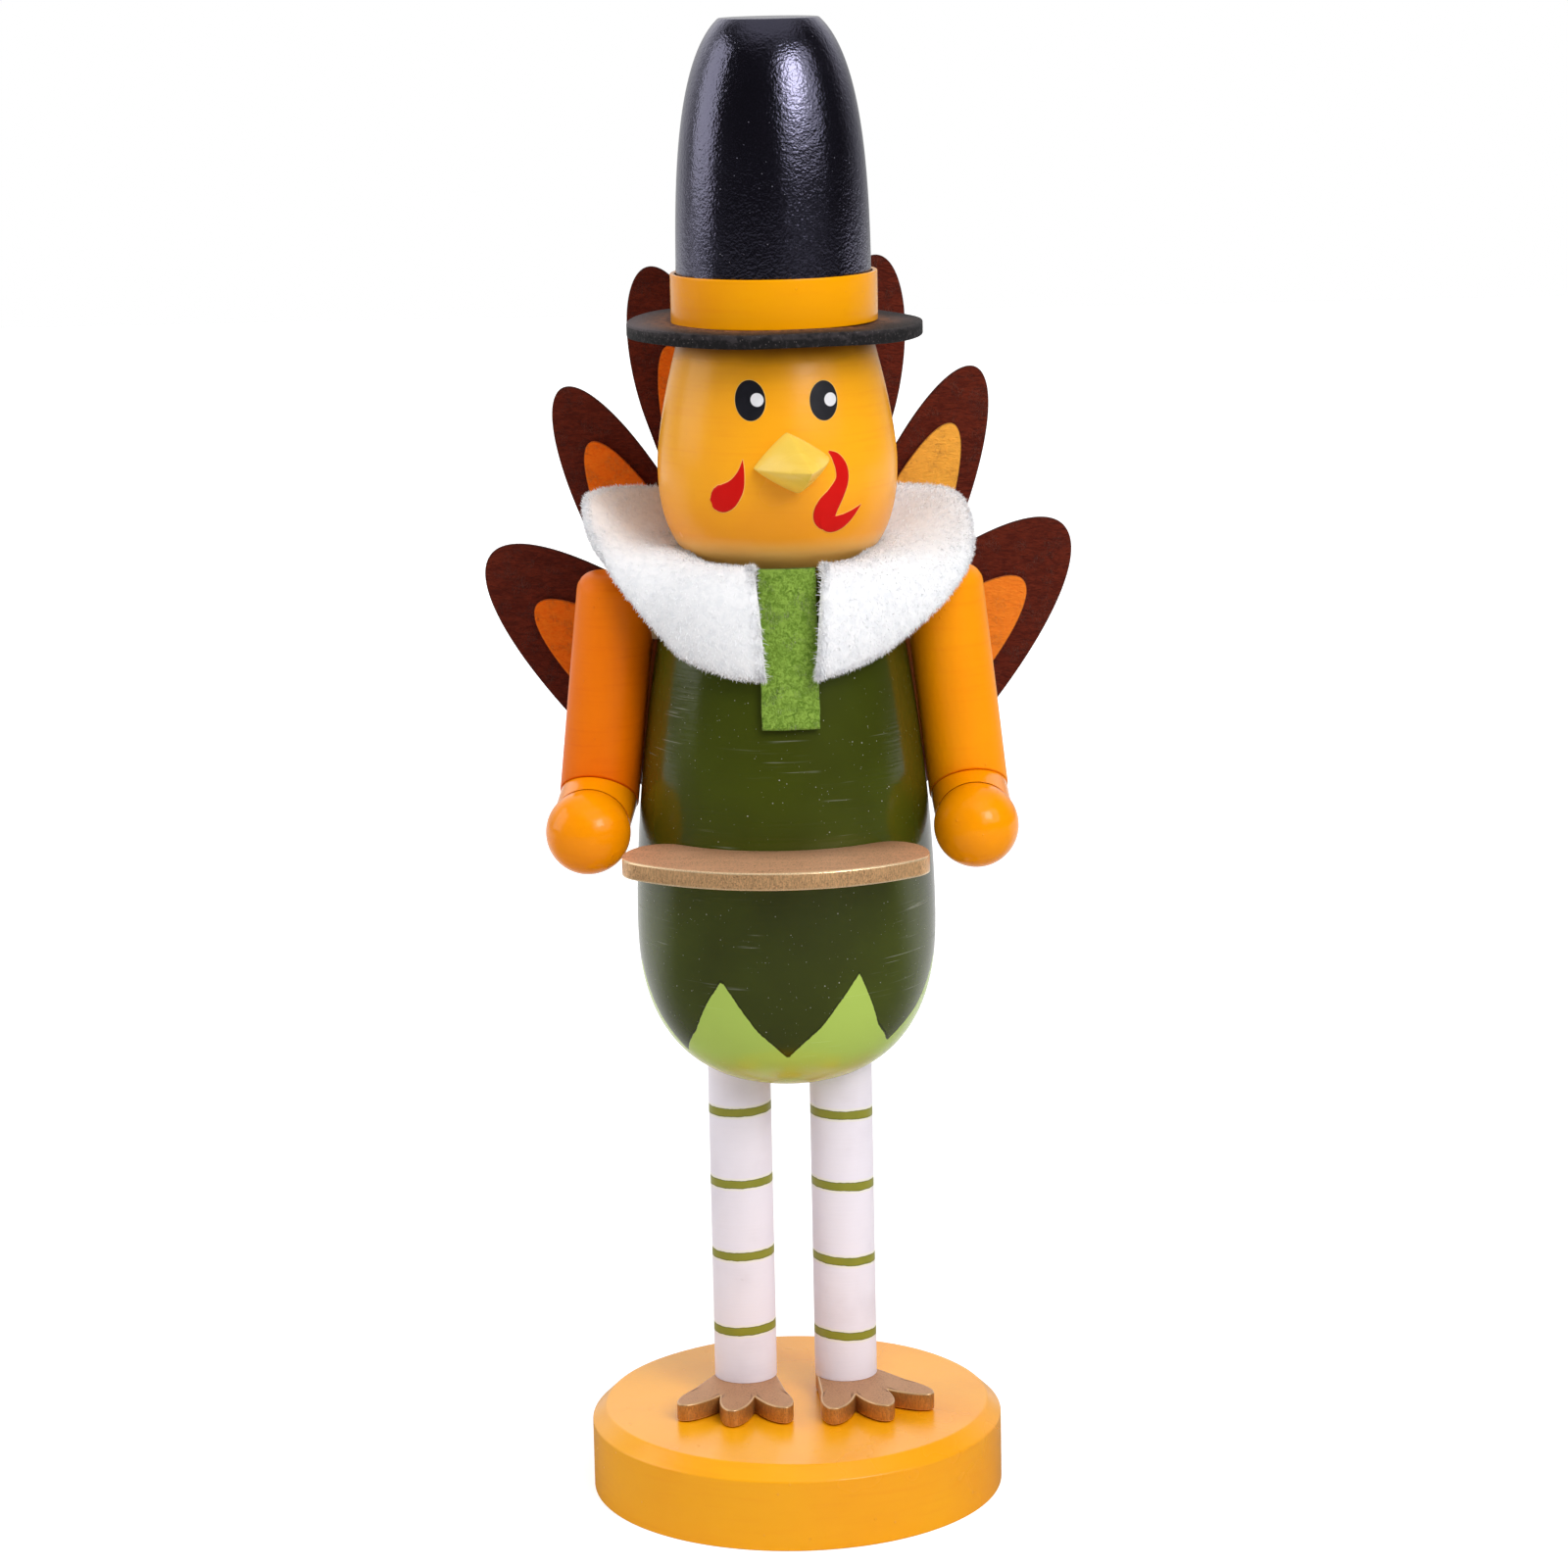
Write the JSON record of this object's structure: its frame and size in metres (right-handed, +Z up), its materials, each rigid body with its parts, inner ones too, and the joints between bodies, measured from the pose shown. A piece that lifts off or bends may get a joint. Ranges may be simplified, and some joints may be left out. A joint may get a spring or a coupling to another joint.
{
  "type": "turkey figure",
  "caption": "Standing painted wooden turkey in a tall hat, with swinging arms, a serving board, a plush collar and a felt tail, for a seasonal table display",
  "frame": {"origin": "middle of the underside of the round base", "axes": "+Z up, the figure faces -Y and its own left is +X"},
  "size_m": [0.144, 0.1044, 0.3539],
  "materials": {
    "orange_paint": "glossy orange paint on turned wood",
    "white_paint": "satin white paint with green rings",
    "green_paint": "glossy dark green paint with a light green zigzag skirt",
    "black_paint": "glossy black paint",
    "bronze_paint": "metallic bronze paint",
    "beak_paint": "glossy pale yellow paint",
    "plain_wood": "bare dowel",
    "matt_black": "matt black paint",
    "white_plush": "short white plush",
    "green_felt": "green felt",
    "brown_felt": "stiff embossed brown felt",
    "orange_felt": "orange felt",
    "steel": "plated steel"
  },
  "bodies": {
    "figure": {"base": "orange_paint", "foot_left": "bronze_paint", "foot_right": "bronze_paint", "leg_left": "white_paint", "leg_right": "white_paint", "leg_screw_left": "steel", "leg_screw_right": "steel", "body": "green_paint", "tray": "bronze_paint", "tray_pin_left": "steel", "tray_pin_right": "steel", "head": "orange_paint", "beak": "beak_paint", "beak_dowel": "plain_wood", "neck_dowel": "plain_wood", "hat_brim": "matt_black", "hat_band": "orange_paint", "hat_crown": "black_paint", "hat_dowel": "plain_wood", "collar": "white_plush", "neck_tie": "green_felt", "tail_fan": "brown_felt", "tail_fan_front": "orange_felt"},
    "left_arm": {"arm_left": "orange_paint", "shoulder_dowel_left": "plain_wood", "forearm_left": "orange_paint", "forearm_dowel_left": "plain_wood", "hand_left": "orange_paint"},
    "right_arm": {"arm_right": "orange_paint", "shoulder_dowel_right": "plain_wood", "forearm_right": "orange_paint", "forearm_dowel_right": "plain_wood", "hand_right": "orange_paint"}
  },
  "joints": [
    {"name": "arm_left_swing", "type": "hinge", "parent": "figure", "child": "left_arm", "pos_m": [0.0396, 0.005, 0.2129], "axis": [-0.994, 0, -0.1097], "range_deg": [-20, 55]},
    {"name": "arm_right_swing", "type": "hinge", "parent": "figure", "child": "right_arm", "pos_m": [-0.0396, 0.005, 0.2129], "axis": [-0.994, 0, 0.1097], "range_deg": [-20, 55]}
  ]
}
